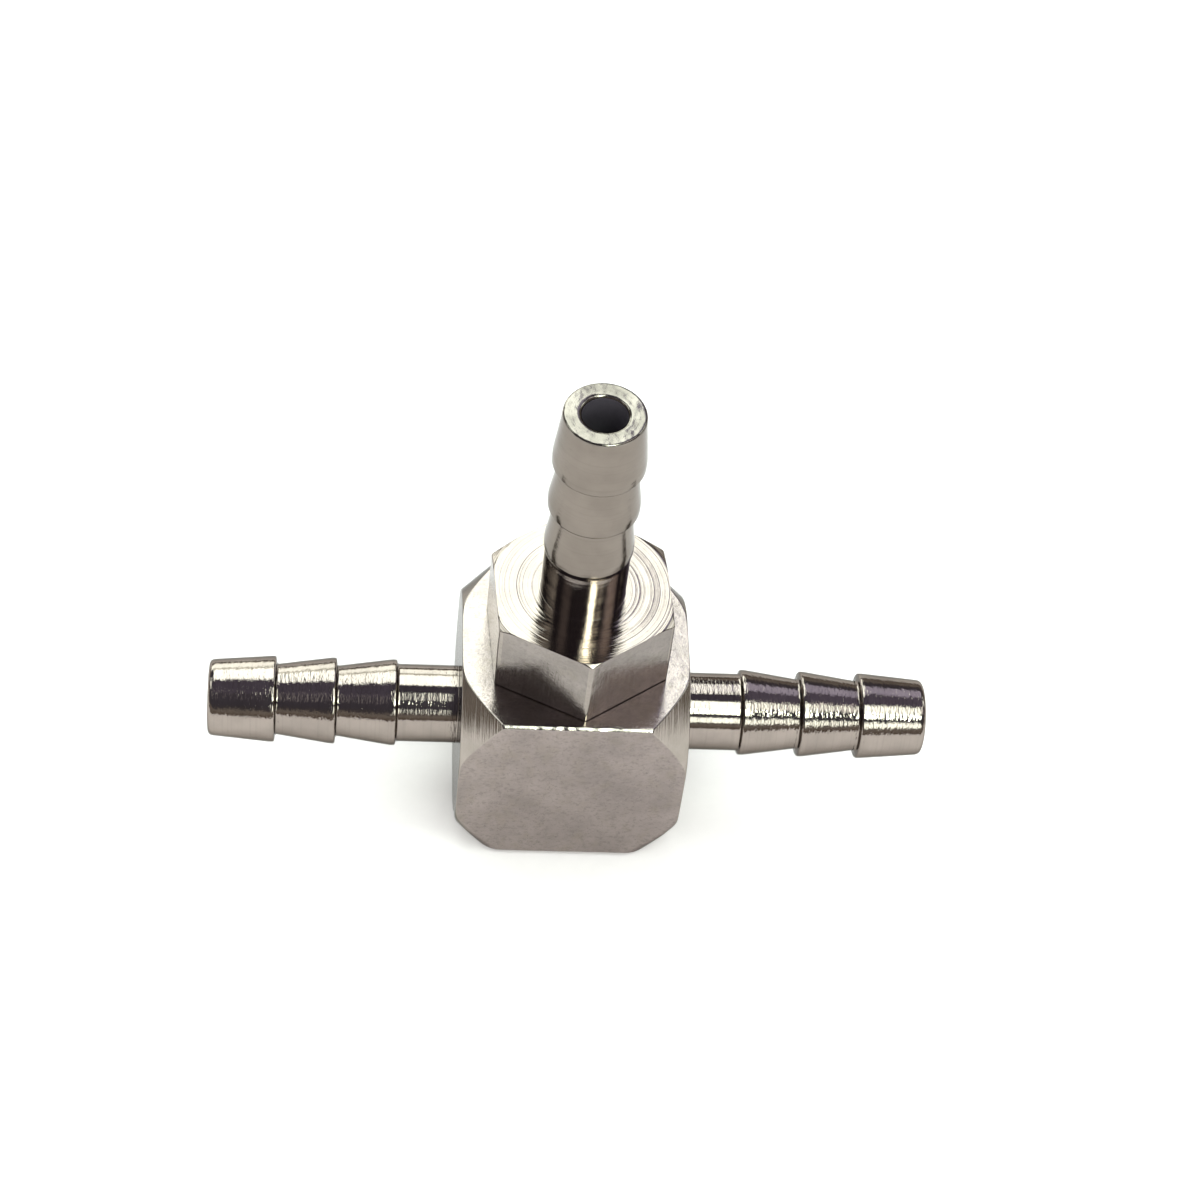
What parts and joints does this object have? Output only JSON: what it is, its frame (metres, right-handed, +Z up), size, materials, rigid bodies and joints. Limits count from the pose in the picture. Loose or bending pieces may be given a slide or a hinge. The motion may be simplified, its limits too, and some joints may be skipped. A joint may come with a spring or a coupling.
{
  "type": "barbed tee connector",
  "caption": "Nickel-plated brass hose tee: a square run body with in-line side barbs and a hexagon-headed branch barb screwed into its top.",
  "frame": {"origin": "where the axis of the run crosses the axis of the branch", "axes": "+X along the run, +Z up the branch stem, out of its tip"},
  "size_m": [0.0426, 0.0126, 0.0324],
  "materials": {
    "nickel_body": "bright nickel plate over turned and sawn brass bar",
    "nickel_stem": "bright nickel plate over turned brass bar",
    "seal_rubber": "moulded black nitrile rubber"
  },
  "bodies": {
    "run": {"run_body": "nickel_body"},
    "seal": {"seal_ring": "seal_rubber"},
    "stem": {"branch_stem": "nickel_stem"}
  },
  "joints": [
    {"name": "stem_lift", "type": "slide", "parent": "run", "child": "seal", "axis": [0, 0, 1], "range_m": [0, 0.00263]},
    {"name": "stem_screw", "type": "hinge", "parent": "seal", "child": "stem", "pos_m": [0, 0, 0.00635], "axis": [0, 0, 1], "range_deg": [0, 1260]}
  ],
  "couplings": [
    {"joint": "stem_screw", "follows": "stem_lift", "rad_per_m": 8377.6}
  ]
}
